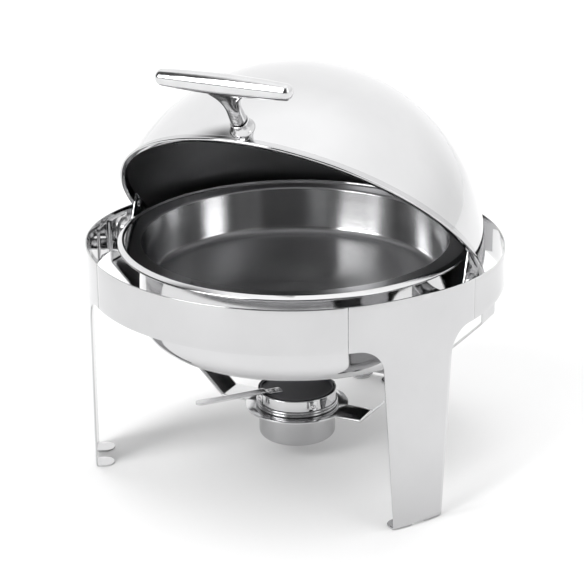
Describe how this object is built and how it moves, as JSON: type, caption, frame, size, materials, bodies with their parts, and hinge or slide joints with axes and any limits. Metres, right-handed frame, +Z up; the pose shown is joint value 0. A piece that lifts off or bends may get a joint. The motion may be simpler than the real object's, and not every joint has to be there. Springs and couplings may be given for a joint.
{
  "type": "chafing dish food warmer",
  "caption": "Round roll-top chafing dish: ring frame on legs, water pan, lift-out food pan, turning half-dome lid with T handle, and a fuel burner on a cross strap.",
  "frame": {"origin": "centre of the footprint, on the table", "axes": "+X towards the right-hand lid pivot, -Y the front where the handle is, +Z up"},
  "size_m": [0.46, 0.46, 0.4785],
  "materials": {
    "polished_steel": "mirror polished stainless sheet",
    "satin_steel": "satin brushed stainless sheet",
    "dark_cover_steel": "dull satin stainless sheet",
    "cast_handle_steel": "polished stainless casting",
    "fastener_steel": "bright turned stainless fasteners"
  },
  "bodies": {
    "frame": {"band_front": "polished_steel", "band_rear_left": "polished_steel", "band_rear_right": "polished_steel", "leg_front_left": "polished_steel", "leg_front_right": "polished_steel", "leg_rear": "polished_steel", "seam_straps": "polished_steel", "water_pan": "polished_steel", "pan_bracket_left": "polished_steel", "pan_bracket_right": "polished_steel", "pivot_boss_left": "fastener_steel", "pivot_boss_right": "fastener_steel", "pivot_bolt_left": "fastener_steel", "pivot_bolt_right": "fastener_steel", "pivot_washers": "fastener_steel", "burner_strap": "polished_steel"},
    "food_pan": {"food_pan": "satin_steel"},
    "lid": {"lid_dome": "polished_steel", "lid_rim": "polished_steel", "ear_left": "polished_steel", "ear_right": "polished_steel", "ear_rivets": "fastener_steel", "handle_foot": "cast_handle_steel", "handle_grip": "cast_handle_steel", "handle_screw": "fastener_steel"},
    "burner": {"burner_cup": "satin_steel", "burner_ring": "polished_steel", "burner_clips": "polished_steel", "clip_rivets": "fastener_steel"},
    "burner_cover": {"burner_cover": "dark_cover_steel", "cover_lever": "polished_steel", "lever_rivets": "fastener_steel"}
  },
  "joints": [
    {"name": "lid_turn", "type": "hinge", "parent": "frame", "child": "lid", "pos_m": [0, 0, 0.232], "axis": [-1, 0, 0], "range_deg": [-44.4, 38]},
    {"name": "food_pan_lift", "type": "slide", "parent": "frame", "child": "food_pan", "axis": [0, 0, 1], "range_m": [0, 0.018]},
    {"name": "burner_lift", "type": "slide", "parent": "frame", "child": "burner", "axis": [0, 0, 1], "range_m": [0, 0.035]},
    {"name": "cover_lift", "type": "slide", "parent": "burner", "child": "burner_cover", "axis": [0, 0, 1], "range_m": [0, 0.015]}
  ]
}
